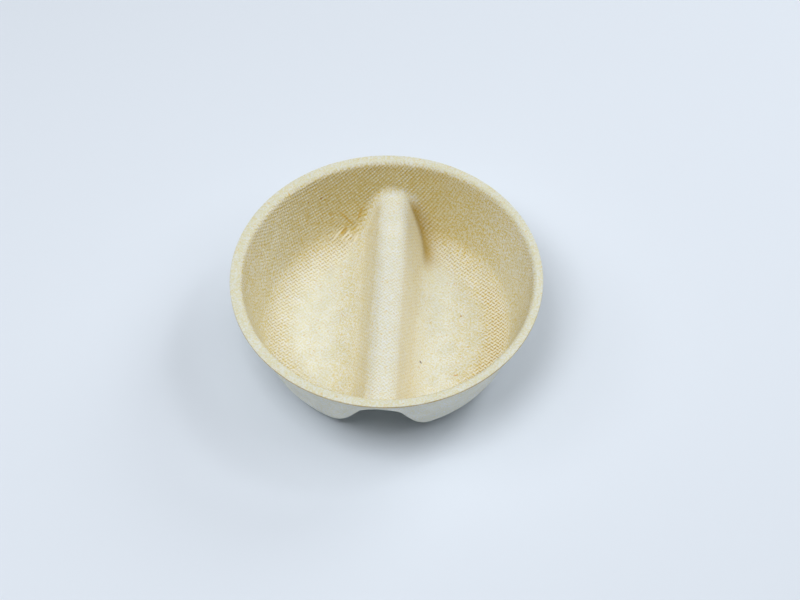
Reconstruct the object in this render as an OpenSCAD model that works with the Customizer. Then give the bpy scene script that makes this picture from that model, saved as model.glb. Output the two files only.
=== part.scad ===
// Molded pulp tray: a round dish with two compartments, pressed from one thin sheet of fibre.
// The sheet is formed over a bowl with a rounded ridge across it. The ridge is hollow below, so it
// leaves an open channel under the dish, and the dish stands on two D-shaped feet.
// Axes: +Z is up, the ridge runs along Y, and the origin is the middle of the plane of the feet.
// Lengths are millimetres and leans are degrees.

/* [Overall] */
// Diameter of the trimmed rim
rim_diameter = 100; // [94:1:130]
// Height from the feet to the top of the rim
height = 31.5; // [30:0.5:36]
// Thickness of the pressed sheet
sheet = 0.65; // [0.5:0.05:0.9]

/* [Rim] */
// Width of the flat rim, measured from the trimmed edge to the line of the wall
rim_width = 3.3; // [2.6:0.1:5]
// Rounding where the wall turns out into the rim
rim_rounding = 1.3; // [1.1:0.1:1.8]

/* [Wall] */
// Lean of the wall away from upright
wall_draft = 13.5; // [10:0.5:16]
// Fillet between the wall and the floor
floor_fillet = 9.8; // [8:0.2:12]

/* [Ridge] */
// Height of the ridge above the floor
ridge_height = 18.9; // [15:0.1:20]
// Width of the ridge across its top, between the lines where top and sides would meet
ridge_top = 8.4; // [7.6:0.1:10]
// Lean of the ridge's sides away from upright
ridge_draft = 20; // [16:0.5:22]
// Rounding along the two top edges of the ridge
ridge_rounding = 3; // [2.4:0.1:3.4]
// Reach of the hollow blend where the ridge runs out into the floor and into the near wall
blend = 6.2; // [5:0.2:8]
// Reach of the blend where the crest runs up into the far wall
end_blend = 3.4; // [2:0.2:6]
// Reach of the blend in the one tight fold, to the right of the ridge at the far wall
fold_blend = 1.3; // [1:0.1:4]
// Length over which the blend tightens into that fold
fold_length = 32; // [20:1:36]

/* [Smoothness] */
// Steps round the fillet of the floor
fillet_steps = 7; // [6:1:8]
// Steps up the wall
wall_steps = 11; // [9:1:12]
// Steps round the inner edge of the rim
rim_steps = 4; // [3:1:5]
// Steps across half of the ridge
ridge_steps = 15; // [12:1:16]
// Steps along the wall from the ridge to the middle of a compartment
arc_steps = 12; // [9:1:13]

/* [Hidden] */

// How far the untrimmed sheet reaches past the rim, as a share of the rim's radius
blank_share = 0.02;
// How finely slopes are felt, as a share of the sheet
probe_share = 0.02;

rim_radius = rim_diameter/2;
blank_radius = rim_radius*(1 + blank_share);
floor_z = sheet;
ridge_z = floor_z + ridge_height;
// Radius of the wall at the level of the rim and, without the fillet, at the level of the floor
wall_head = rim_radius - rim_width;
wall_foot = wall_head - (height - floor_z)*tan(wall_draft);
// Middle of the fillet's arc, and so the edge of the flat floor
fillet_r = wall_foot - floor_fillet*tan((90 - wall_draft)/2);
fillet_z = floor_z + floor_fillet;
// Half widths across the ridge: end of the crown, end of the rounding, start and end of the blend
crown_x = ridge_top/2 - ridge_rounding/cos(ridge_draft);
side_x = ridge_top/2 + ridge_rounding*tan(ridge_draft);
base_x = ridge_top/2 + ridge_height*tan(ridge_draft);
hollow_x = base_x - blend*tan(ridge_draft);
level_x = base_x + blend/cos(ridge_draft);

// Soft step from 0 to 1
function ease(v) = let (s = min(max(v, 0), 1)) s*s*(3 - 2*s);

// Two solids joined with a hollow blend, and two solids met with a rounded edge, as distances
function blend_join(a, b, reach) = max(reach, min(a, b)) - norm([max(reach - a, 0), max(reach - b, 0)]);
function round_meet(a, b, reach) = min(-reach, max(a, b)) + norm([max(reach + a, 0), max(reach + b, 0)]);

// Height of a point over the bowl alone: level floor, fillet and leaning wall
function over_bowl(r, z) =
    let (u = r - fillet_r, w = z - fillet_z)
    u > 0 && u*sin(wall_draft) + w*cos(wall_draft) < 0
        ? floor_fillet - norm([u, w])
        : min(z - floor_z, (wall_foot - r)*cos(wall_draft) + (z - floor_z)*sin(wall_draft));

// Distance of a point from the ridge alone: level top, leaning sides and rounded edges
function over_ridge(x, z) =
    let (up = z - ridge_z, off = (abs(x) - ridge_top/2)*cos(ridge_draft) + up*sin(ridge_draft))
    round_meet(up, off, ridge_rounding);

// Reach of the blend at a point: even, but tighter at the far end, and most of all in the fold
function blend_reach(x, y, z) =
    let (
        at_crest = blend + (end_blend - blend)*ease((z - floor_z)/ridge_height),
        at_end = at_crest + (fold_blend - at_crest)*ease((x + ridge_top/2)/ridge_top)
    ) blend + (at_end - blend)*ease((y - wall_foot + fold_length)/fold_length);

// Distance of a point from the whole form: ridge blended into bowl, cut off level at the rim
function over_form(x, y, z) =
    let (sheet_form = blend_join(over_bowl(norm([x, y]), z), over_ridge(x, z), blend_reach(x, y, z)))
    round_meet(sheet_form, z - height, rim_rounding);

// Height of the form at a place in plan, found by halving a range until nothing is left to gain
function form_height(x, y, low, high, left = 34) =
    let (mid = (low + high)/2)
    left == 0 ? mid
    : over_form(x, y, mid) < 0 ? form_height(x, y, mid, high, left - 1)
    : form_height(x, y, low, mid, left - 1);

// Direction straight out of the form
function form_normal(p) =
    let (
        e = sheet*probe_share,
        g = [
            over_form(p.x + e, p.y, p.z) - over_form(p.x - e, p.y, p.z),
            over_form(p.x, p.y + e, p.z) - over_form(p.x, p.y - e, p.z),
            over_form(p.x, p.y, p.z + e) - over_form(p.x, p.y, p.z - e)
        ]
    ) g/norm(g);

// Radii of the rings of points, from the edge of the flat floor to the edge of the blank
rings = [
    for (i = [0:fillet_steps]) fillet_r + floor_fillet*sin((90 - wall_draft)*i/fillet_steps),
    for (i = [1:wall_steps])
        let (
            low = fillet_r + floor_fillet*cos(wall_draft),
            high = wall_head - rim_rounding*tan(wall_draft)
        ) low + (high - low)*i/wall_steps,
    for (i = [1:rim_steps])
        let (
            low = wall_head - rim_rounding*tan(wall_draft),
            high = wall_head + rim_rounding/cos(wall_draft)
        ) low + (high - low)*i/rim_steps,
    blank_radius
];

// Offsets from the ridge's middle line at which lines of points run along it
ridge_marks = [0, crown_x, side_x, hollow_x, level_x];
mark_shares = [0, 0.1, 0.4, 0.6, 1];
ridge_lines = [for (i = [0:ridge_steps]) lookup(i/ridge_steps, [for (k = [0:4]) [mark_shares[k], ridge_marks[k]]])];

// Points of one quarter of a ring, from the X axis to the Y axis: even steps round the wall, then
// the lines that run along the ridge
quarter = arc_steps + ridge_steps;
function quarter_point(r, s) =
    s < arc_steps
        ? let (a = acos(level_x/r)*s/arc_steps) [r*cos(a), r*sin(a)]
        : let (x = ridge_lines[quarter - s]) [x, sqrt(r*r - x*x)];

// Points of a whole ring in plan: the quarter and its three mirror images
around = 4*quarter;
function ring_point(r, j) =
    let (
        turn = floor(j/quarter),
        i = j - turn*quarter,
        p = quarter_point(r, turn % 2 == 0 ? i : quarter - i)
    ) [turn == 0 || turn == 3 ? p.x : -p.x, turn < 2 ? p.y : -p.y];

// The form side of the sheet, and its far side one sheet away, ring after ring
inside = [
    for (r = rings, j = [0:around - 1])
        let (p = ring_point(r, j)) [p.x, p.y, form_height(p.x, p.y, 0, height + sheet)]
];
outside = [for (p = inside) p - sheet*form_normal(p)];

// Triangles of a band between two rings, turned alike in mirrored quarters
function four(a, b, c, d, turned) = turned ? [[a, b, d], [b, c, d]] : [[a, b, c], [a, c, d]];
function band(k) = [
    for (j = [0:around - 1])
        let (n = (j + 1) % around, a = k*around, b = a + around)
        each four(a + j, b + j, b + n, a + n, floor(j/quarter) % 2 == 1)
];
// Strips across the middle, which run straight along the ridge
strips = [
    for (s = [0:quarter - 1], side = [0, 1])
        let (
            a = side == 0 ? s : 2*quarter - s - 1,
            b = side == 0 ? s + 1 : 2*quarter - s,
            c = side == 0 ? (around - s - 1) % around : 2*quarter + s,
            d = side == 0 ? (around - s) % around : 2*quarter + s + 1
        )
        each (s == 0 ? (side == 0 ? [[a, b, c]] : [[a, b, d]]) : [[a, b, c], [a, c, d]])
];
function backwards(faces) = [for (f = faces) [f[2], f[1], f[0]]];
function shifted(faces, by) = [for (f = faces) [f[0] + by, f[1] + by, f[2] + by]];

// The pressed sheet before trimming: form side, far side one sheet away, and the blank's edge
module pressed_sheet() {
    count = len(rings);
    face = [each strips, for (k = [0:count - 2]) each band(k)];
    last = (count - 1)*around;
    edge = [
        for (j = [0:around - 1])
            let (n = (j + 1) % around, a = last + j, b = last + n, by = count*around)
            each [[a, a + by, b + by], [a, b + by, b]]
    ];
    polyhedron(
        points = [each inside, each outside],
        faces = [each backwards(face), each shifted(face, count*around), each backwards(edge)]
    );
}

// The tray: the pressed sheet with its rim trimmed round
module tray() {
    color([0.86, 0.84, 0.72])
    intersection() {
        pressed_sheet();
        translate([0, 0, -height]) cylinder(d = rim_diameter, h = 3*height, $fn = 4*around);
    }
}

tray();
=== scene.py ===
# %% [markdown]
# # A molded pulp tray
# The real tray is one thin sheet of plant fibre. Wet pulp is sucked onto a fine wire screen that
# has the shape of a round bowl with a ridge across it, pressed, dried, and trimmed round the rim.
# So there is only one piece to model, and nearly all of its character is in two things: the soft
# blends of the pressed form, and the finish, which keeps the woven imprint of the screen inside
# and is smooth outside.

# %% Tools and the fixed frame
import math

import bmesh
import bpy
import numpy as np
from mathutils import Matrix, Vector


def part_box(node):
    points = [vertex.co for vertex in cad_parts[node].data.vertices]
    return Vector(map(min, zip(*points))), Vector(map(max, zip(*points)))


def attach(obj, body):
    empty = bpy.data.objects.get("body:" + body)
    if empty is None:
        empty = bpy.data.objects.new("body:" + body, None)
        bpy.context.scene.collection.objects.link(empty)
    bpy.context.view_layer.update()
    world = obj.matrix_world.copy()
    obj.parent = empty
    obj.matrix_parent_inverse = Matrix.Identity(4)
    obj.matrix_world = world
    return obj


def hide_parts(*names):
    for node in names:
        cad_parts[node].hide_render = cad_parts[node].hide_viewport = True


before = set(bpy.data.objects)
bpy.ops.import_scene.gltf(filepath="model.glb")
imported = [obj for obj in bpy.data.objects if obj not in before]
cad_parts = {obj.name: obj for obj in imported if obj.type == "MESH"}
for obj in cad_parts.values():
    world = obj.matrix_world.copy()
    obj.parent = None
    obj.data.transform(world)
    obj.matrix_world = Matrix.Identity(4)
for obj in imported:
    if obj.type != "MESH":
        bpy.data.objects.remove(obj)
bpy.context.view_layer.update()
RIM_DIAMETER = 100.0
low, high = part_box("tray")
MM = (high.x - low.x)/RIM_DIAMETER
RIM = RIM_DIAMETER/2
HEIGHT = (high.z - low.z)/MM
print(f"rim radius {RIM:.1f} mm, height {HEIGHT:.1f} mm")

# %% [markdown]
# ## The pressed form
# A moulded sheet has no separate walls and floors: one surface bends from the rim down to the
# floor and up over the ridge. It could be put together from a spun bowl and an extruded ridge, but
# the blends between them are what the eye sees. So the form is written as distances. Each function
# below says how far a point lies from one plain shape, and two such distances are joined with a
# soft blend. The sizes, in millimetres, are those of the solid model, apart from the blend at the
# near end of the ridge, which is drawn a little tighter here. At the far end the real form is
# folded more tightly on the right, so the blend shrinks towards that corner.

# %% Sizes of the form
SHEET = 0.65
RIM_WIDTH = 3.3
RIM_ROUNDING = 1.3
WALL_DRAFT = math.radians(13.5)
FLOOR_FILLET = 9.8
RIDGE_HEIGHT = 18.9
RIDGE_TOP = 8.4
RIDGE_DRAFT = math.radians(20)
RIDGE_ROUNDING = 3.0
BLEND = 6.2
END_BLEND = 3.4
NEAR_BLEND = 4.6
FOLD_BLEND = 1.3
FOLD_LENGTH = 32.0

wall_head = RIM - RIM_WIDTH
wall_foot = wall_head - (HEIGHT - SHEET)*math.tan(WALL_DRAFT)
fillet_turn = math.pi/2 - WALL_DRAFT
floor_edge = wall_foot - FLOOR_FILLET*math.tan(fillet_turn/2)
fillet_z = SHEET + FLOOR_FILLET
ridge_crest = SHEET + RIDGE_HEIGHT
ridge_base = RIDGE_TOP/2 + RIDGE_HEIGHT*math.tan(RIDGE_DRAFT)
ridge_level = ridge_base + BLEND/math.cos(RIDGE_DRAFT)
print(f"flat floor to radius {floor_edge:.1f} mm")
print(f"the ridge blends out {ridge_level:.1f} mm from its middle")

# %% Distances from the form
def ease(v):
    s = np.clip(v, 0, 1)
    return s*s*(3 - 2*s)


def blend_join(a, b, reach):
    corner = np.hypot(np.maximum(reach - a, 0), np.maximum(reach - b, 0))
    return np.maximum(reach, np.minimum(a, b)) - corner


def round_meet(a, b, reach):
    corner = np.hypot(np.maximum(reach + a, 0), np.maximum(reach + b, 0))
    return np.minimum(-reach, np.maximum(a, b)) + corner


def over_bowl(r, z):
    c, s = math.cos(WALL_DRAFT), math.sin(WALL_DRAFT)
    u, w = r - floor_edge, z - fillet_z
    in_fillet = (u > 0) & (u*s + w*c < 0)
    plain = np.minimum(z - SHEET, (wall_foot - r)*c + (z - SHEET)*s)
    return np.where(in_fillet, FLOOR_FILLET - np.hypot(u, w), plain)


def over_ridge(x, z):
    up = z - ridge_crest
    off = (np.abs(x) - RIDGE_TOP/2)*math.cos(RIDGE_DRAFT) + up*math.sin(RIDGE_DRAFT)
    return round_meet(up, off, RIDGE_ROUNDING)


def blend_reach(x, y, z):
    end = np.where(y > 0, END_BLEND, NEAR_BLEND)
    at_crest = BLEND + (end - BLEND)*ease((z - SHEET)/RIDGE_HEIGHT)
    at_fold = at_crest + (FOLD_BLEND - at_crest)*ease((x + RIDGE_TOP/2)/RIDGE_TOP)
    at_end = np.where(y > 0, at_fold, at_crest)
    return BLEND + (at_end - BLEND)*ease((np.abs(y) - wall_foot + FOLD_LENGTH)/FOLD_LENGTH)


def over_form(x, y, z):
    bowl, ridge = over_bowl(np.hypot(x, y), z), over_ridge(x, z)
    joined = blend_join(bowl, ridge, blend_reach(x, y, z))
    return round_meet(joined, z - HEIGHT, RIM_ROUNDING)


print(f"the bowl is {float(over_bowl(0.0, HEIGHT)):.1f} mm deep inside")

# %% Height and direction of the form
HALVINGS = 40


def form_height(x, y):
    below, above = np.zeros_like(x), np.full_like(x, HEIGHT + SHEET)
    for _ in range(HALVINGS):
        mid = (below + above)/2
        sunk = over_form(x, y, mid) < 0
        below, above = np.where(sunk, mid, below), np.where(sunk, above, mid)
    return (below + above)/2


def form_normal(x, y, z, step=0.005):
    slope = [
        over_form(x + step, y, z) - over_form(x - step, y, z),
        over_form(x, y + step, z) - over_form(x, y - step, z),
        over_form(x, y, z + step) - over_form(x, y, z - step),
    ]
    slope = np.stack(slope, -1)
    return slope/np.linalg.norm(slope, axis=-1, keepdims=True)


on_floor_crest_rim = np.array([22.0, 0.0, 49.0])
heights = form_height(on_floor_crest_rim, np.zeros(3))
print("floor, crest and rim heights:", heights.round(2))

# %% [markdown]
# ## The sheet in plan
# Seen from above, the rim and the ridge are the same on both sides and at both ends, so a quarter
# of the mesh is enough to draw. It starts as a plain grid from create_grid. One direction of the
# grid runs across the ridge and then round the wall, the other from the middle out to the rim, so
# that the lines of the mesh follow the folds of the form. Lines that run along the folds need far
# fewer faces than an even grid for the same smooth look.

# %% Where the lines of the grid run
RIDGE_COUNTS = [3, 14, 10, 20]
ARC_LINES = 48
FILLET_LINES = 22
WALL_COUNTS = [32, 9, 6]
INNER_LINES = 18


def spread(marks, counts):
    steps = zip(marks[:-1], marks[1:], counts)
    parts = [np.linspace(a, b, n, endpoint=False) for a, b, n in steps]
    return np.concatenate(parts + [[marks[-1]]])


crown = RIDGE_TOP/2 - RIDGE_ROUNDING/math.cos(RIDGE_DRAFT)
shoulder = RIDGE_TOP/2 + RIDGE_ROUNDING*math.tan(RIDGE_DRAFT)
hollow = ridge_base - BLEND*math.tan(RIDGE_DRAFT)
ridge_lines = spread([0, crown, shoulder, hollow, ridge_level], RIDGE_COUNTS)
arc_shares = np.linspace(1, 0, ARC_LINES + 1)[1:]

turns = np.linspace(0, fillet_turn, FILLET_LINES + 1)
wall_low = floor_edge + FLOOR_FILLET*math.cos(WALL_DRAFT)
wall_high = wall_head - RIM_ROUNDING*math.tan(WALL_DRAFT)
rim_low = wall_head + RIM_ROUNDING/math.cos(WALL_DRAFT)
rings = np.concatenate([
    floor_edge + FLOOR_FILLET*np.sin(turns[:-1]),
    spread([wall_low, wall_high, rim_low, RIM], WALL_COUNTS),
])
print(len(ridge_lines) + len(arc_shares), "lines across,", INNER_LINES + len(rings), "lines out")

# %% Laying the quarter out and mirroring it
CLOSE = 0.001*MM


def plan(r):
    along = np.stack([ridge_lines, np.sqrt(r*r - ridge_lines**2)], -1)
    turn = math.acos(ridge_level/r)*arc_shares
    return np.concatenate([along, np.stack([r*np.cos(turn), r*np.sin(turn)], -1)])


edge_of_floor = plan(floor_edge)
inner_rows = [edge_of_floor*[1, k/INNER_LINES] for k in range(INNER_LINES)]
ground = np.stack(inner_rows + [plan(r) for r in rings], 1)

bm = bmesh.new()
across_count, out_count = ground.shape[0] - 1, ground.shape[1] - 1
bmesh.ops.create_grid(bm, x_segments=across_count, y_segments=out_count, size=0.5)
for vert in bm.verts:
    i = round((vert.co.x + 0.5)*across_count)
    j = round((vert.co.y + 0.5)*out_count)
    vert.co = Vector((*ground[i, j], 0))*MM
for axis in "XY":
    everything = bm.verts[:] + bm.edges[:] + bm.faces[:]
    bmesh.ops.mirror(bm, geom=everything, matrix=Matrix.Identity(4), merge_dist=CLOSE, axis=axis)
bmesh.ops.remove_doubles(bm, verts=bm.verts, dist=CLOSE)
bmesh.ops.dissolve_degenerate(bm, dist=CLOSE/2, edges=bm.edges)
bmesh.ops.recalc_face_normals(bm, faces=bm.faces)
if sum(face.normal.z*face.calc_area() for face in bm.faces) < 0:
    bmesh.ops.reverse_faces(bm, faces=bm.faces)
print("sheet in plan:", len(bm.verts), "vertices,", len(bm.faces), "faces")

# %% [markdown]
# ## Lifting the sheet onto the form
# Now every vertex is lifted to the height of the form at its place. A real sheet is never quite
# true: it dries a little wavy, and the rim was trimmed a fraction of a millimetre off centre, so
# the rim looks wider on one side. Both are added as small smooth shifts, the same on both faces
# of the sheet.

# %% Heights, waves and the trim
TRIM_SHIFT = 0.35
WAVE = 0.05
WAVE_START = 3.0


def wave(x, y):
    slow = np.sin(0.19*x + 1.1)*np.sin(0.16*y + 0.5)
    quick = np.sin(0.41*x - 0.29*y + 2.0) + np.sin(0.23*x + 0.47*y)
    return WAVE*(slow + 0.5*quick)


bm.verts.ensure_lookup_table()
flat = np.array([vert.co for vert in bm.verts])/MM
gx, gy = flat[:, 0], flat[:, 1]
gz = form_height(gx, gy)
form_out = form_normal(gx, gy, gz)
radius = np.hypot(gx, gy)
inside_trim = 1 - ease((radius - wall_high)/(RIM - wall_high))
shifts = form_out*(wave(gx, gy)*inside_trim*ease(gz/WAVE_START))[:, None]
shifts[:, 0] += TRIM_SHIFT*inside_trim*ease(gz/HEIGHT)
form_side = np.stack([gx, gy, gz], -1) + shifts
for vert, place in zip(bm.verts, form_side):
    vert.co = Vector(place)*MM
print("waves and trim move the sheet by up to", np.abs(shifts).max().round(2), "mm")

# %% [markdown]
# ## Coordinates of the wire screen
# The imprint has to follow the sheet, as the screen did, so every face corner also gets its place
# on the flat screen before it was formed. Over the ridge that place is the length measured across
# it, and up the wall it is the length measured up the wall. A screen can't be bent round the end
# of the ridge without a cut, so there the real one has a seam, and here the two ways of measuring
# meet. Face corners, and not vertices, hold the values, so that nothing is smeared at the seam.

# %% Measuring along the sheet
REPEAT_ACROSS = 1.77
REPEAT_ALONG = 1.43
CUT_POINTS = 400
WALL_STRETCH = 0.85
LIFT_SHARE, LIFT_TOP = 0.5, 5.0
MIDDLE = 0.001

cut_x = np.linspace(0, ridge_level, CUT_POINTS)
cut_z = form_height(cut_x, np.zeros_like(cut_x))
cut_length = np.concatenate([[0], np.cumsum(np.hypot(np.diff(cut_x), np.diff(cut_z)))])
spare = REPEAT_ACROSS*round((cut_length[-1] - ridge_level)/REPEAT_ACROSS)
cut_length *= (ridge_level + spare)/cut_length[-1]

turn = np.clip(np.arctan2(radius - floor_edge, fillet_z - gz), 0, fillet_turn)
wall_start = fillet_z - FLOOR_FILLET*math.sin(WALL_DRAFT)
up_wall = FLOOR_FILLET*turn + np.maximum(gz - wall_start, 0)/math.cos(WALL_DRAFT)
past_floor = radius > floor_edge
from_middle = np.maximum(radius, MIDDLE)
bowl_reach = np.where(past_floor, floor_edge + WALL_STRETCH*up_wall, radius)/from_middle
lift = LIFT_SHARE*np.clip(gz - SHEET, 0, LIFT_TOP)*np.abs(gx)/from_middle
bowl_u, bowl_v = np.abs(gx)*bowl_reach + spare, gy*bowl_reach + lift*past_floor
ridge_u = np.interp(np.abs(gx), cut_x, cut_length)
nearer_ridge = over_ridge(gx, gz) < over_bowl(radius, gz)
on_ridge = (np.abs(gx) < ridge_level) & (nearer_ridge | ~past_floor)
print(f"length over the ridge {2*cut_length[-1]:.1f} mm, up the wall {up_wall.max():.1f} mm")

# %% [markdown]
# ## How the finish varies
# The screen marked the sheet most in the bend between floor and wall, where the pulp was pressed
# hardest against it, less on the walls, and lightly on level parts. In the near right bend the
# imprint is made stronger still, which darkens it as painted shade. The rim was pressed flat, and
# a fringe of the imprint is left on the lip inside it. A golden tint is painted shade on the walls,
# in the bends, on the right of the floor, in the fold and on the left flank of the ridge, and the
# top tone on the right shoulder of the ridge is painted shade too. Painted light makes the flanks
# of the ridge, the right one most, the foot of the right flank, the sides of the walls and a patch
# at the far left paler. These strengths are worked out from the form and kept as attributes of the
# mesh, for the materials. Painting them by hand would be another way, but then they would have to
# be painted again after every change to the form. Each is built from shares, and most shares come
# from rise, which climbs smoothly from 0 at a start to 1 one width further on.

# %% Parts of the form
def rise(v, start, width):
    return ease((v - start)/width)


to_ridge = over_ridge(gx, gz) - over_bowl(radius, gz)
bent = turn/fillet_turn
steep = rise(1 - form_out[:, 2], 0, 0.75)
bowl_share = rise(to_ridge, -0.9, 5)*past_floor
ridge_share = 1 - bowl_share

on_rim = rise(radius, wall_high - 0.3, 1.3)
on_lip = rise(radius, wall_high - 1.4, 1.2)*(1 - rise(radius, wall_high + 0.4, 1.2))
on_wall = rise(bent, 0.35, 0.5)*bowl_share*(1 - on_rim)
in_bend = rise(radius, floor_edge - 3, 8)*(1 - rise(bent, 0.5, 0.45))*rise(to_ridge, 0, 6)
on_flank = steep*ridge_share
left_foot = rise(-gx, 8.5, 3)*(1 - rise(-gx, 15, 5))*ridge_share
right_foot = rise(gx, 6, 3)*(1 - rise(gx, 12, 5))*ridge_share
right_shoulder_shade = rise(gx, 2.5, 1.5)*(1 - rise(gx, 5, 2))*ridge_share
on_crest = rise(gz, ridge_crest - 2.5, 2)*ridge_share*(1 - steep)*(1 - 0.7*rise(gy, 8, 25))
# On the right shoulder of the ridge the top tone is painted shade.
on_top = np.maximum(on_crest, 0.8*right_shoulder_shade)
print("vertices on the wall:", int((on_wall > 0.5).sum()))
print("vertices in the bend:", int((in_bend > 0.5).sum()))

# %% Sides of the tray
side_x, side_y = gx/np.maximum(radius, 1), gy/np.maximum(radius, 1)
far_left = rise(0.9*side_y - 0.45*side_x, 0.4, 0.7)
far_right = rise(0.8*side_x + 0.6*side_y, 0.75, 0.2)
near_right = rise(0.8*side_x - 0.6*side_y, -0.2, 1.1)
near = rise(-side_y, -0.625, 1.25)
far = rise(side_y, -1.2, 2)
at_ends = rise(np.abs(side_y), 0.35, 0.6)
at_sides = rise(np.abs(side_x), 0.4, 0.5)
# Painted shade along the crease of the fold at the far right end of the ridge.
fold_width = np.where(to_ridge < 0, 1.8, 4.0)
fold_shade = np.exp(-(to_ridge/fold_width)**2)*rise(gy, 22, 12)*rise(gx, 0, 6)
fold_shade *= rise(ridge_crest - gz, 0, 6)
print("vertices in the fold:", int((fold_shade > 0.5).sum()))

# %% Strength of the imprint
# The extra strength in the near right bend darkens it as painted shade.
dashes = 0.13 + (0.56 + 0.42*near_right)*in_bend + 0.18*on_top + 0.12*on_flank
dashes = dashes*(1 - on_rim) + 0.32*on_lip*far
beside_fold = np.exp(-(to_ridge/9)**2)*rise(gy, 15, 15)*(gx > 0)
studs = (0.06 + 0.94*far_left + 0.4*beside_fold)*on_wall
SEAM, SEAM_SIZE = np.array([-16.5, 36, 7]), [7, 6, 6]
seam = np.exp(-np.linalg.norm((form_side - SEAM)/SEAM_SIZE, axis=1)**2)*(gx < 0)
print("dashes up to", dashes.max().round(2), "studs up to", studs.max().round(2))

# %% Golden tint painted as shade, and paler parts painted as light
# The golden tint is painted shade: walls, bends, right of the floor, left flank and its foot.
painted_shade_tint = on_wall*(0.5 + 0.5*at_ends)*(1 - 0.25*far_right)
bend_painted_shade = np.where(gx < 0, 0.08, 0.15) + 0.22*near + 0.35*near_right
painted_shade_tint += bend_painted_shade*in_bend*(1 - on_wall)
painted_shade_tint += 0.19*rise(gx, 18, 7)*(1 - in_bend)*(1 - on_wall)*(1 - on_rim)
painted_shade_tint += np.where(gx < 0, 0.27, 0.02)*on_flank + 0.16*left_foot
# The pale share is painted light: ridge flanks, right most, right foot, wall sides, far-left patch.
pale = np.where(gx > 0, 0.75, 0.35)*on_flank + 0.2*right_foot + 0.12*on_wall*at_sides
PAINTED_LIGHT_PATCH, PAINTED_LIGHT_SIZE = np.array([-24, 32, 5]), 8
pale += 0.25*np.exp(-(np.linalg.norm(form_side - PAINTED_LIGHT_PATCH, axis=1)/PAINTED_LIGHT_SIZE)**2)
print("tint up to", painted_shade_tint.max().round(2), "pale up to", pale.max().round(2))

# %% Writing the attributes
number_layer = bm.verts.layers.int.new("number")
for vert in bm.verts:
    vert[number_layer] = vert.index
screen_layer = bm.loops.layers.float_vector.new("screen")
finish_layer = bm.loops.layers.float_vector.new("finish")
pressed_layer = bm.loops.layers.float_vector.new("pressed")
painted_light_layer = bm.loops.layers.float.new("pale")
for face in bm.faces:
    side = 1 if face.calc_center_median().x > 0 else -1
    ridge_face = sum(on_ridge[vert.index] for vert in face.verts) > len(face.verts)/2
    for loop in face.loops:
        n = loop.vert.index
        across, along = (ridge_u[n], gy[n]) if ridge_face else (bowl_u[n], bowl_v[n])
        loop[screen_layer] = Vector((side*across, along, seam[n]))
        loop[finish_layer] = Vector((dashes[n], min(painted_shade_tint[n], 1), studs[n]))
        loop[pressed_layer] = Vector((on_rim[n], on_top[n], fold_shade[n]))
        loop[painted_light_layer] = pale[n]
print("attributes on", sum(len(face.loops) for face in bm.faces), "face corners")

# %% [markdown]
# ## Thickness and the trimmed edge
# The sheet has a real thickness, which shows as a thin raw line round the rim. The whole face is
# extruded, and the copy is moved one sheet's thickness straight away from the form. Moving along
# the form's own direction, and not straight down, keeps the steep walls as thick as the floor. The
# two corners of the trimmed edge are then broken with a small bevel, as a blade leaves them.

# %% Giving the sheet its thickness
SCREEN_SIDE, SMOOTH_SIDE, RAW_EDGE = range(3)
form_faces = bm.faces[:]
pushed = bmesh.ops.extrude_face_region(bm, geom=form_faces, use_keep_orig=True)["geom"]
far_faces = {g for g in pushed if isinstance(g, bmesh.types.BMFace)}
for vert in pushed:
    if isinstance(vert, bmesh.types.BMVert):
        vert.co -= Vector(form_out[vert[number_layer]])*SHEET*MM
near_faces = set(form_faces)
for face in bm.faces:
    if face in far_faces:
        face.material_index = SMOOTH_SIDE
    else:
        face.material_index = SCREEN_SIDE if face in near_faces else RAW_EDGE
bmesh.ops.recalc_face_normals(bm, faces=bm.faces)
print("whole sheet:", len(bm.verts), "vertices,", len(bm.faces), "faces")

# %% Breaking the corners of the edge
CORNER_BREAK = 0.13
corners = []
for edge in bm.edges:
    kinds = {face.material_index for face in edge.link_faces}
    if RAW_EDGE in kinds and len(kinds) == 2:
        corners.append(edge)
bmesh.ops.bevel(
    bm, geom=corners, offset=CORNER_BREAK*MM, offset_type="OFFSET", segments=2, profile=0.5,
    affect="EDGES", material=-1, clamp_overlap=True,
)
for face in bm.faces:
    face.smooth = True
print(len(corners), "edges bevelled")

# %% Making the piece
mesh = bpy.data.meshes.new("pulp_sheet")
bm.to_mesh(mesh)
bm.free()
tray = bpy.data.objects.new("pulp_sheet", mesh)
bpy.context.collection.objects.link(tray)
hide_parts("tray")
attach(tray, "root")
print("triangles:", sum(len(p.vertices) - 2 for p in mesh.polygons))

# %% [markdown]
# ## Materials
# Unbleached pulp is cream, with a faint mottling and a fine speckle of fibres. Its finish is built
# from node trees, so first comes a small helper that adds and links nodes, to keep the recipes
# below short. Scales are given in patterns per metre, because the coordinates are metres.

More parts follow.
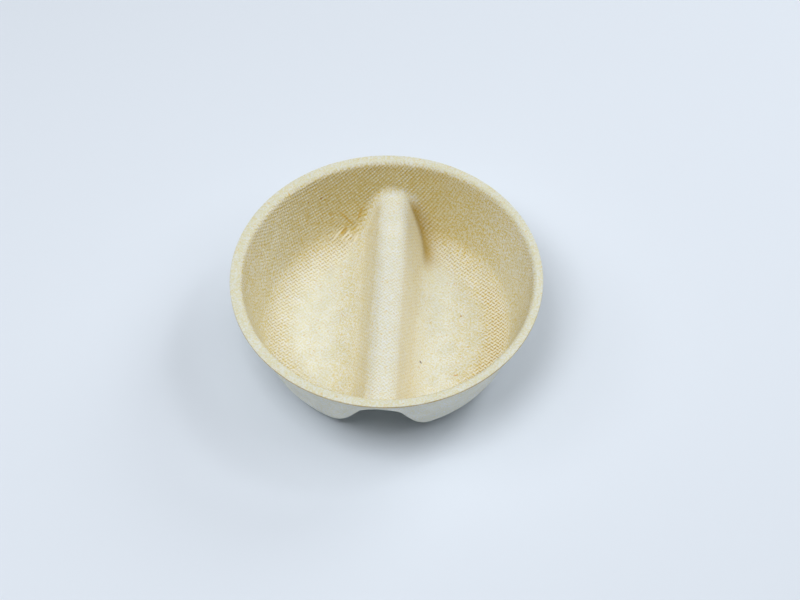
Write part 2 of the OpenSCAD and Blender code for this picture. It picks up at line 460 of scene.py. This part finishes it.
# %% Helpers for node trees
class Recipe:
    def __init__(self, name):
        self.material = bpy.data.materials.new(name)
        self.material.use_nodes = True
        self.tree = self.material.node_tree
        self.shader = self.tree.nodes["Principled BSDF"]
        self.place = self.add("ShaderNodeTexCoord").outputs["Object"]

    def add(self, kind, **settings):
        node = self.tree.nodes.new(kind)
        for key, value in settings.items():
            setattr(node, key, value)
        return node

    def feed(self, socket, value):
        if isinstance(value, bpy.types.NodeSocket):
            self.tree.links.new(value, socket)
        else:
            socket.default_value = value

    def math(self, operation, *values):
        node = self.add("ShaderNodeMath", operation=operation)
        for socket, value in zip(node.inputs, values):
            self.feed(socket, value)
        return node.outputs[0]

    def times(self, *values):
        total = values[0]
        for value in values[1:]:
            total = self.math("MULTIPLY", total, value)
        return total

    def mix(self, share, first, second, blend="MIX"):
        node = self.add("ShaderNodeMix", data_type="RGBA", blend_type=blend)
        sockets = node.inputs[0], node.inputs[6], node.inputs[7]
        for socket, value in zip(sockets, (share, first, second)):
            self.feed(socket, value)
        return node.outputs[2]

    def step(self, value, low, high, to_low=0.0, to_high=1.0):
        node = self.add("ShaderNodeMapRange", interpolation_type="SMOOTHSTEP")
        for socket, v in zip(node.inputs, (value, low, high, to_low, to_high)):
            self.feed(socket, v)
        return node.outputs[0]

    def grain(self, scale, detail=2.0, rough=0.5, wriggle=0.0):
        node = self.add("ShaderNodeTexNoise")
        self.feed(node.inputs["Vector"], self.place)
        node.inputs["Distortion"].default_value = wriggle
        node.inputs["Scale"].default_value = scale
        node.inputs["Detail"].default_value = detail
        node.inputs["Roughness"].default_value = rough
        return node.outputs["Fac"]

    def hump(self, phase):
        cosine = self.math("COSINE", self.times(phase, 2*math.pi))
        return self.math("MULTIPLY_ADD", cosine, 0.5, 0.5)

    def attribute(self, name, output="Vector"):
        return self.add("ShaderNodeAttribute", attribute_name=name).outputs[output]

    def parts(self, vector):
        node = self.add("ShaderNodeSeparateXYZ")
        self.feed(node.inputs[0], vector)
        return node.outputs

    def relief(self, height, depth):
        node = self.add("ShaderNodeBump")
        self.feed(node.inputs["Height"], height)
        node.inputs["Distance"].default_value = depth*MM
        node.inputs["Strength"].default_value = 1.0
        self.feed(self.shader.inputs["Normal"], node.outputs[0])

    def finish(self, colour, roughness, shine):
        self.feed(self.shader.inputs["Base Color"], colour)
        self.feed(self.shader.inputs["Roughness"], roughness)
        self.shader.inputs["Specular IOR Level"].default_value = shine


def srgb(r, g, b):
    def line(v):
        v = v/255
        return v/12.92 if v <= 0.04045 else ((v + 0.055)/1.055)**2.4
    return (line(r), line(g), line(b), 1.0)


print("middle grey in linear light:", round(srgb(128, 128, 128)[0], 3))

# %% [markdown]
# ### The body of the pulp
# All faces share this: a cloudy cream, then a fine speckle of golden and pale fibres, which
# multiplies the colour under it and so shows on every tint alike, and a few larger flecks. Single
# marks are placed one by one: shives, which are bits of stalk that were not pulped, and the scar
# that the seam of the screen left at the far end of one compartment. Each is a stretched ball of
# colour, and shows where the sheet passes through it.

# %% Cream, speckle, flecks and marks
GOLDEN_FIBRE, PALE_FIBRE = (0.93, 0.83, 0.34, 1.0), (1.07, 1.17, 1.66, 1.0)
FLECK = srgb(208, 170, 72)
MARK_EDGE, MARK_CORE = 1.15, 0.7


def clouds(r, dull, bright):
    return r.mix(r.step(r.grain(170, 3), 0.35, 0.65), dull, bright)


def speckled(r, colour, share, fleck_share):
    fibre = r.step(r.grain(1700, 3, 0.75, wriggle=0.4), 0.43, 0.57)
    colour = r.mix(share, colour, r.mix(fibre, GOLDEN_FIBRE, PALE_FIBRE), "MULTIPLY")
    flecks = r.step(r.grain(1350, 2, 0.6, wriggle=1.2), 0.61, 0.69, 0.0, fleck_share)
    return r.mix(flecks, colour, FLECK)


def mark(r, place, along, long, wide):
    spot = r.add("ShaderNodeMapping", vector_type="TEXTURE")
    r.feed(spot.inputs["Vector"], r.place)
    spot.inputs["Location"].default_value = Vector(place)*MM
    spot.inputs["Rotation"].default_value = Vector(along).to_track_quat("X", "Z").to_euler()
    spot.inputs["Scale"].default_value = Vector((long, wide, wide))*MM/2
    away = r.add("ShaderNodeVectorMath", operation="LENGTH")
    r.feed(away.inputs[0], spot.outputs[0])
    return r.step(away.outputs["Value"], MARK_EDGE, MARK_CORE)


print("golden fibre keeps", GOLDEN_FIBRE[2], "of the blue, pale fibre", PALE_FIBRE[2])

# %% [markdown]
# ### The imprint of the screen
# In a plain weave every wire goes over one crossing wire and under the next, so its knuckles press
# a chequered pattern of short dents, one half along each wire direction. The wires run at about 45
# degrees to the ridge, which gives the herringbone look. Each dent is golden at the bottom, partly
# the pulp's own colour and partly painted shade, and the pulp between the dents stands up, with a
# painted highlight on it. On the far wall it stands up more than the dents sink, in rows of studs
# whose tops carry a painted highlight.

# %% Dents of a plain weave
SHAKE, SHAKE_SCALE = 0.34, 420


def knuckle(r, across, along, flip):
    side = r.math("ABSOLUTE", r.math("SUBTRACT", r.math("FRACT", across), 0.5))
    width = r.step(side, 0.04, 0.30, 1.0, 0.0)
    wire = r.math("FLOORED_MODULO", r.math("FLOOR", across), 2.0)
    odd = r.math("MULTIPLY_ADD", wire, -2.0, 1.0)
    swing = r.times(r.math("SINE", r.times(along, math.pi)), odd, flip)
    return r.times(width, r.step(swing, -0.25, 0.6))


def weave(r):
    shake = r.add("ShaderNodeTexNoise")
    r.feed(shake.inputs["Vector"], r.place)
    shake.inputs["Scale"].default_value = SHAKE_SCALE
    shaken = r.add("ShaderNodeVectorMath", operation="MULTIPLY_ADD")
    r.feed(shaken.inputs[0], shake.outputs["Color"])
    shaken.inputs[1].default_value = (SHAKE, SHAKE, 0)
    r.feed(shaken.inputs[2], r.attribute("screen"))
    across, along, seam_share = r.parts(shaken.outputs[0])
    across, along = r.times(across, 1/REPEAT_ACROSS), r.times(along, 1/REPEAT_ALONG)
    warp, weft = r.math("ADD", across, along), r.math("SUBTRACT", across, along)
    dents = r.math("MAXIMUM", knuckle(r, warp, weft, 1.0), knuckle(r, weft, warp, -1.0))
    rows, beads = r.step(r.hump(weft), 0.25, 0.75), r.hump(warp)
    stud = r.times(rows, r.math("MULTIPLY_ADD", beads, 0.65, 0.35))
    slant = r.math("SUBTRACT", r.times(across, 1.5), r.times(along, 0.8))
    return dents, stud, slant, seam_share


print(f"the weave repeats every {REPEAT_ACROSS} by {REPEAT_ALONG} mm")

# %% Colours and marks of the screen side
DULL_CREAM, CREAM = srgb(217, 218, 202), srgb(224, 225, 211)
RIM_TONE, TOP_TONE = srgb(202, 201, 177), srgb(205, 207, 195)
SHADE_GOLD, FOLD_SHADE, DENT_GOLD_AND_SHADE = srgb(203, 181, 97), srgb(178, 150, 62), srgb(188, 157, 78)
PAINTED_LIGHT_TONE, STANDING_HIGHLIGHT, STUD_HIGHLIGHT = srgb(240, 235, 212), srgb(244, 241, 224), srgb(246, 246, 238)
TORN_GOLD, RIB_TONE = srgb(200, 174, 96), srgb(240, 237, 216)
BARK, STRAW, DARK = srgb(168, 118, 46), srgb(206, 152, 60), srgb(104, 78, 50)
FLAX, HONEY = srgb(246, 242, 226), srgb(206, 172, 82)
MARK_STRENGTH = 0.7
MARKS = [
    ((-42.2, 13.8, 21.8), (-0.3, -0.4, -1), 1.9, 0.6, BARK),
    ((-41.2, 17.1, 22.7), (0, -1, -1), 0.9, 0.7, BARK),
    ((-34.0, 32.0, 30.6), (0, 0.2, 1), 2.2, 0.8, HONEY),
    ((-24.1, 37.5, 22.8), (1, 0.3, 0.6), 1.5, 0.8, BARK),
    ((-28.2, 34.9, 23.7), (0, 0, 1), 0.9, 0.7, BARK),
    ((-21.0, 37.1, 14.8), (1, 0.4, 0.5), 1.4, 0.9, HONEY),
    ((11.7, -13.4, 3.0), (1, -0.8, 0), 1.6, 0.8, DARK),
    ((23.3, -16.4, 0.65), (1, 0.2, 0), 1.8, 0.5, STRAW),
    ((24.2, 7.4, 0.65), (1, 0, 0), 0.7, 0.7, BARK),
    ((-16.7, 36.9, 6.5), (0.6, 0.6, 0.6), 3.6, 1.7, HONEY),
    ((-11.4, 40.5, 12.1), (-0.3, -0.3, -0.9), 5.4, 1.0, HONEY),
    ((-16.0, 38.7, 11.2), (0.5, 0, -0.8), 10.4, 0.9, HONEY),
    ((-18.9, 35.5, 6.0), (0.6, 0.6, 0.5), 6.4, 0.9, FLAX),
    ((-16.2, 36.2, 5.0), (0.6, 0.6, 0.5), 5.6, 0.8, FLAX),
    ((-15.1, 35.9, 4.2), (0.6, 0.6, 0.5), 3.8, 0.7, FLAX),
    ((-12.6, 35.8, 4.3), (0.5, 0.6, 0.6), 3.6, 0.7, FLAX),
]
print(len(MARKS), "single marks")

# %% Pulp, screen side
r = Recipe("pulp_screen_side")
strength, golden, studded = r.parts(r.attribute("finish"))
rim, top, fold = r.parts(r.attribute("pressed"))
dents, stud, slant, seam_share = weave(r)
patchy = r.step(r.grain(260, 2), 0.3, 0.7, 0.6, 1.0)
depth = r.times(dents, strength, patchy)
height = r.times(stud, studded, r.step(r.grain(620, 2), 0.35, 0.65, 0.3, 1.0))

colour = clouds(r, DULL_CREAM, CREAM)
colour = r.mix(r.times(rim, 0.65), colour, RIM_TONE)
# Top tone on the crest, and painted shade on the right shoulder of the ridge.
colour = r.mix(r.times(top, 0.7), colour, TOP_TONE)
# Golden tint painted as shade.
colour = r.mix(r.times(golden, 0.88), colour, SHADE_GOLD)
# Painted light on the flanks, the right foot, the wall sides and a far-left patch.
colour = r.mix(r.attribute("pale", "Fac"), colour, PAINTED_LIGHT_TONE)
# Painted shade in the fold.
colour = r.mix(r.times(fold, 0.92), colour, FOLD_SHADE)
colour = speckled(r, colour, r.math("MULTIPLY_ADD", golden, 1.35, 0.35), 0.6)
# Dents: partly the pulp's golden colour, partly painted shade.
colour = r.mix(r.times(depth, 0.9), colour, DENT_GOLD_AND_SHADE)
# Painted highlight on the pulp standing between the dents.
stands_highlight = r.times(r.step(dents, 0.35, 0.0), strength, 0.5)
colour = r.mix(stands_highlight, colour, STANDING_HIGHLIGHT)
# Painted highlight on the tops of the studs.
colour = r.mix(r.times(height, 0.85), colour, STUD_HIGHLIGHT)
ribs = r.step(r.math("SINE", r.times(slant, 1.7*math.pi)), -0.3, 0.5)
torn = r.times(r.step(seam_share, 0.1, 0.7), r.step(r.grain(420, 2), 0.35, 0.6))
colour = r.mix(r.times(torn, 0.2), colour, TORN_GOLD)
colour = r.mix(r.times(ribs, torn, patchy, 0.6), colour, RIB_TONE)
for place, along, long, wide, tone in MARKS:
    spot = mark(r, place, along, long, wide)
    colour = r.mix(r.times(spot, MARK_STRENGTH), colour, tone)

fibres = r.grain(1700, 3, 0.65)
r.finish(colour, r.step(fibres, 0.3, 0.7, 0.97, 0.86), 0.2)
raised = r.math("ADD", height, r.times(ribs, torn))
r.relief(r.math("MULTIPLY_ADD", fibres, 0.4, r.math("SUBTRACT", raised, depth)), 0.13)
tray.data.materials.append(r.material)
print("screen side:", len(r.tree.nodes), "nodes")

# %% [markdown]
# ### The smooth side and the raw edge
# The other side never touched the screen. It was smoothed by a counter mould, so it is plainer and
# a little paler, with a felted grain. The trimmed edge shows the inside of the sheet: darker,
# warmer and rough. Both use the body above with other numbers, so that all three sides still look
# like one stuff.

# %% Pulp, smooth side
r = Recipe("pulp_smooth_side")
colour = clouds(r, srgb(234, 234, 222), srgb(241, 241, 230))
colour = speckled(r, colour, r.step(r.grain(300, 2), 0.4, 0.6, 0.12, 0.3), 0.22)
fibres = r.grain(1400, 3, 0.65)
felt = r.grain(420, 2, 0.5)
r.finish(colour, r.step(fibres, 0.3, 0.7, 0.92, 0.8), 0.25)
r.relief(r.math("MULTIPLY_ADD", felt, 0.8, fibres), 0.11)
tray.data.materials.append(r.material)
print("smooth side:", len(r.tree.nodes), "nodes")

# %% Pulp, raw edge
r = Recipe("pulp_raw_edge")
colour = clouds(r, srgb(206, 184, 136), srgb(220, 204, 166))
colour = speckled(r, colour, r.step(r.grain(300, 2), 0.4, 0.6, 0.3, 0.6), 0.5)
fibres = r.grain(2400, 3, 0.7)
r.finish(colour, r.step(fibres, 0.3, 0.7, 1.0, 0.9), 0.1)
r.relief(fibres, 0.08)
tray.data.materials.append(r.material)
print("raw edge:", len(r.tree.nodes), "nodes")

# %% [markdown]
# ## Floor, light and camera
# The tray stands on a plain pale floor. The light is soft: five round lamps, each as wide as half
# its distance, stand all about the tray and above it. The two strongest face each other, one low
# behind on the right and one high in front on the left. A sixth, smaller lamp on the right gives
# the shadow a clearer edge. A little even light from all round fills the shadows. The camera stands
# well back in front and looks steeply down through a long lens, which keeps the tray's shape true.

# %% Floor
FLOOR_HALF = 1.5
FLOOR_GAP = 0.03
under_tray = Matrix.Translation((0, 0, -FLOOR_GAP*MM))
bm = bmesh.new()
bmesh.ops.create_grid(bm, x_segments=1, y_segments=1, size=FLOOR_HALF, matrix=under_tray)
mesh = bpy.data.meshes.new("floor")
bm.to_mesh(mesh)
bm.free()
floor = bpy.data.objects.new("floor", mesh)
bpy.context.collection.objects.link(floor)
paper = Recipe("pale_floor")
paper.finish(srgb(217, 225, 235), 0.9, 0.1)
floor.data.materials.append(paper.material)
print(f"floor {FLOOR_GAP} mm under the feet")

# %% Lights
EVEN_LIGHT = 0.12


def soft_light(name, azimuth, elevation, watts, size=0.43, distance=0.85):
    a, e = math.radians(azimuth), math.radians(elevation)
    lamp = bpy.data.lights.new(name, "AREA")
    lamp.shape, lamp.size, lamp.energy = "DISK", size, watts
    holder = bpy.data.objects.new(name, lamp)
    towards = Vector((math.cos(e)*math.cos(a), math.cos(e)*math.sin(a), math.sin(e)))
    holder.location = towards*distance
    holder.rotation_euler = holder.location.to_track_quat("Z", "Y").to_euler()
    bpy.context.collection.objects.link(holder)


soft_light("back_right_low", 45, 30, 2.06)
soft_light("right_small", 27, 56, 0.58, size=0.15)
soft_light("right", 0, 50, 1.13)
soft_light("top", 0, 90, 0.81)
soft_light("left", 180, 50, 1.18)
soft_light("front_left_high", 225, 70, 3.32)
world = bpy.data.worlds.new("studio")
bpy.context.scene.world = world
world.use_nodes = True
background = world.node_tree.nodes["Background"]
background.inputs["Color"].default_value = (1.0, 1.0, 1.0, 1)
background.inputs["Strength"].default_value = EVEN_LIGHT

# %% Camera
ELEVATION, AZIMUTH, ROLL = math.radians(54.05), math.radians(3.38), math.radians(-0.36)
DISTANCE, TO_RIGHT, DOWN = 657, 4.337, 7.76
SENSOR, PICTURE_WIDTH, FOCAL_PIXELS = 36, 800, 2058

level, rising = math.cos(ELEVATION), math.sin(ELEVATION)
back = Vector((math.sin(AZIMUTH)*level, -math.cos(AZIMUTH)*level, rising))
right = Vector((math.cos(AZIMUTH), math.sin(AZIMUTH), 0))
up = back.cross(right)
c, s = math.cos(ROLL), math.sin(ROLL)
right, up = right*c + up*s, up*c - right*s
eye = (Vector((0, 0, HEIGHT)) + back*DISTANCE + right*TO_RIGHT - up*DOWN)*MM
lens = bpy.data.cameras.new("camera")
lens.sensor_width = SENSOR
lens.lens = SENSOR*FOCAL_PIXELS/PICTURE_WIDTH
lens.clip_start = 0.01
camera = bpy.data.objects.new("camera", lens)
camera.matrix_world = Matrix((
    (right.x, up.x, back.x, eye.x),
    (right.y, up.y, back.y, eye.y),
    (right.z, up.z, back.z, eye.z),
    (0, 0, 0, 1),
))
bpy.context.collection.objects.link(camera)
bpy.context.scene.camera = camera
bpy.context.scene.view_settings.view_transform = "Standard"
print(f"lens {lens.lens:.1f} mm, about {DISTANCE} mm from the tray")
